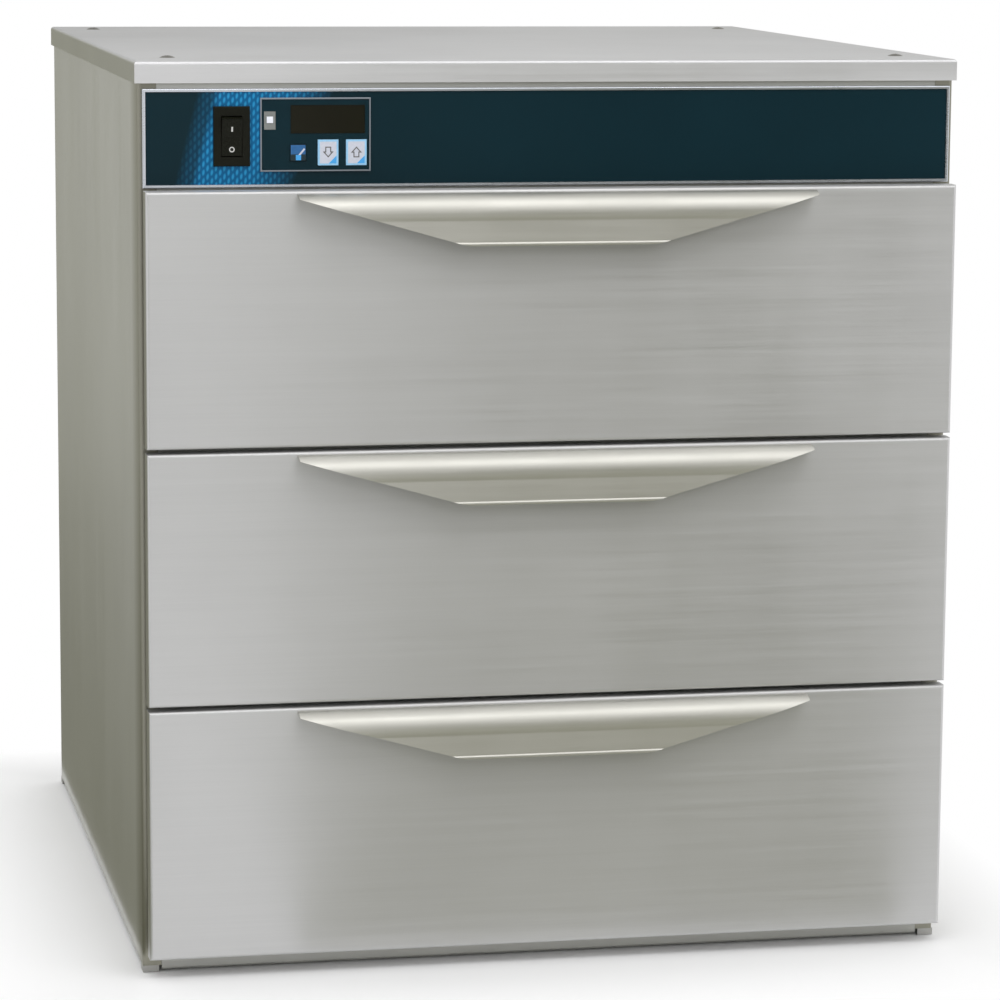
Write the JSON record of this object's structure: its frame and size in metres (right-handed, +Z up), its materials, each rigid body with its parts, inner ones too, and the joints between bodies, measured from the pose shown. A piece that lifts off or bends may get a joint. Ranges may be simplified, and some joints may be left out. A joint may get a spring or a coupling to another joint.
{
  "type": "drawer warming cabinet",
  "caption": "Free-standing stainless warming cabinet with stacked pull-out drawers on roller slides, lift-out pans and a control panel.",
  "frame": {"origin": "centre of the overall box in plan, at the underside of the feet", "axes": "+Z up, -Y towards the drawer fronts, +X to the right seen from the front"},
  "size_m": [0.624, 0.701, 0.6841],
  "materials": {
    "casing_steel": "fine vertical brush",
    "drawer_steel": "fine level brush",
    "handle_steel": "fine level brush",
    "plain_steel": "mill finish",
    "liner_steel": "mill finish",
    "slide_steel": "mill finish",
    "pan_steel": "drawn, satin",
    "screw": "plated",
    "bezel": "satin",
    "panel_overlay": "printed film",
    "controller_face": "printed film",
    "display": "dark window",
    "lamp": "diffusing lens",
    "set_key": "printed film",
    "arrow_key": "printed film",
    "rocker": "moulded",
    "black_plastic": "moulded",
    "terminal": "moulded",
    "roller": "turned acetal",
    "gasket": "silicone",
    "cable": "silicone sleeve",
    "insulation": "mineral wool"
  },
  "bodies": {
    "cabinet": {"top_cover": "casing_steel", "left_side_panel": "casing_steel", "right_side_panel": "casing_steel", "back_panel": "casing_steel", "bottom_panel": "plain_steel", "base_strip": "casing_steel", "feet": "plain_steel", "leg_plates": "plain_steel", "front_frame": "casing_steel", "inner_liner": "liner_steel", "insulation": "insulation", "heating_cable": "cable", "air_sensor": "plain_steel", "control_shelf": "plain_steel", "control_bezel": "bezel", "control_overlay": "panel_overlay", "controller_frame": "bezel", "controller_box": "controller_face", "display_window": "display", "indicator_lamp": "lamp", "switch_housing": "black_plastic", "terminal_block": "terminal", "cord_gland": "black_plastic", "cover_screws": "screw", "back_screws": "screw", "channels_1": "slide_steel", "channels_2": "slide_steel", "channels_3": "slide_steel"},
    "drawer_1": {"drawer_skin_1": "drawer_steel", "drawer_handle_1": "handle_steel", "front_liner_1": "liner_steel", "front_insulation_1": "insulation", "drawer_gasket_1": "gasket", "drawer_frame_1": "slide_steel", "pan_1": "pan_steel"},
    "front_rollers_1": {"front_rollers_1": "roller"},
    "rear_rollers_1": {"rear_rollers_1": "roller"},
    "drawer_2": {"drawer_skin_2": "drawer_steel", "drawer_handle_2": "handle_steel", "front_liner_2": "liner_steel", "front_insulation_2": "insulation", "drawer_gasket_2": "gasket", "drawer_frame_2": "slide_steel", "pan_2": "pan_steel"},
    "front_rollers_2": {"front_rollers_2": "roller"},
    "rear_rollers_2": {"rear_rollers_2": "roller"},
    "drawer_3": {"drawer_skin_3": "drawer_steel", "drawer_handle_3": "handle_steel", "front_liner_3": "liner_steel", "front_insulation_3": "insulation", "drawer_gasket_3": "gasket", "drawer_frame_3": "slide_steel", "pan_3": "pan_steel"},
    "front_rollers_3": {"front_rollers_3": "roller"},
    "rear_rollers_3": {"rear_rollers_3": "roller"},
    "set_key": {"set_key": "set_key"},
    "down_key": {"down_key": "arrow_key"},
    "up_key": {"up_key": "arrow_key"},
    "switch_rocker": {"switch_rocker": "rocker"}
  },
  "joints": [
    {"name": "drawer_slide_1", "type": "slide", "parent": "cabinet", "child": "drawer_1", "axis": [0, -1, 0], "range_m": [0, 0.47]},
    {"name": "front_roller_spin_1", "type": "hinge", "parent": "cabinet", "child": "front_rollers_1", "pos_m": [0, -0.2847, 0.5128], "axis": [1, 0, 0], "continuous": true},
    {"name": "rear_roller_spin_1", "type": "hinge", "parent": "drawer_1", "child": "rear_rollers_1", "pos_m": [0, 0.2153, 0.5128], "axis": [1, 0, 0], "continuous": true},
    {"name": "drawer_slide_2", "type": "slide", "parent": "cabinet", "child": "drawer_2", "axis": [0, -1, 0], "range_m": [0, 0.47]},
    {"name": "front_roller_spin_2", "type": "hinge", "parent": "cabinet", "child": "front_rollers_2", "pos_m": [0, -0.2847, 0.3203], "axis": [1, 0, 0], "continuous": true},
    {"name": "rear_roller_spin_2", "type": "hinge", "parent": "drawer_2", "child": "rear_rollers_2", "pos_m": [0, 0.2153, 0.3203], "axis": [1, 0, 0], "continuous": true},
    {"name": "drawer_slide_3", "type": "slide", "parent": "cabinet", "child": "drawer_3", "axis": [0, -1, 0], "range_m": [0, 0.47]},
    {"name": "front_roller_spin_3", "type": "hinge", "parent": "cabinet", "child": "front_rollers_3", "pos_m": [0, -0.2847, 0.1278], "axis": [1, 0, 0], "continuous": true},
    {"name": "rear_roller_spin_3", "type": "hinge", "parent": "drawer_3", "child": "rear_rollers_3", "pos_m": [0, 0.2153, 0.1278], "axis": [1, 0, 0], "continuous": true},
    {"name": "set_key_press", "type": "slide", "parent": "cabinet", "child": "set_key", "axis": [0, 1, 0], "range_m": [0, 0.0008], "stiffness_N_per_m": 600, "springref_m": -0.0002},
    {"name": "down_key_press", "type": "slide", "parent": "cabinet", "child": "down_key", "axis": [0, 1, 0], "range_m": [0, 0.0008], "stiffness_N_per_m": 600, "springref_m": -0.0002},
    {"name": "up_key_press", "type": "slide", "parent": "cabinet", "child": "up_key", "axis": [0, 1, 0], "range_m": [0, 0.0008], "stiffness_N_per_m": 600, "springref_m": -0.0002},
    {"name": "switch_rock", "type": "hinge", "parent": "cabinet", "child": "switch_rocker", "pos_m": [-0.2412, -0.3099, 0.62775], "axis": [1, 0, 0], "range_deg": [-18, 0]}
  ],
  "couplings": [
    {"joint": "front_roller_spin_1", "follows": "drawer_slide_1", "rad_per_m": 76.923},
    {"joint": "rear_roller_spin_1", "follows": "drawer_slide_1", "rad_per_m": 76.923},
    {"joint": "front_roller_spin_2", "follows": "drawer_slide_2", "rad_per_m": 76.923},
    {"joint": "rear_roller_spin_2", "follows": "drawer_slide_2", "rad_per_m": 76.923},
    {"joint": "front_roller_spin_3", "follows": "drawer_slide_3", "rad_per_m": 76.923},
    {"joint": "rear_roller_spin_3", "follows": "drawer_slide_3", "rad_per_m": 76.923}
  ]
}
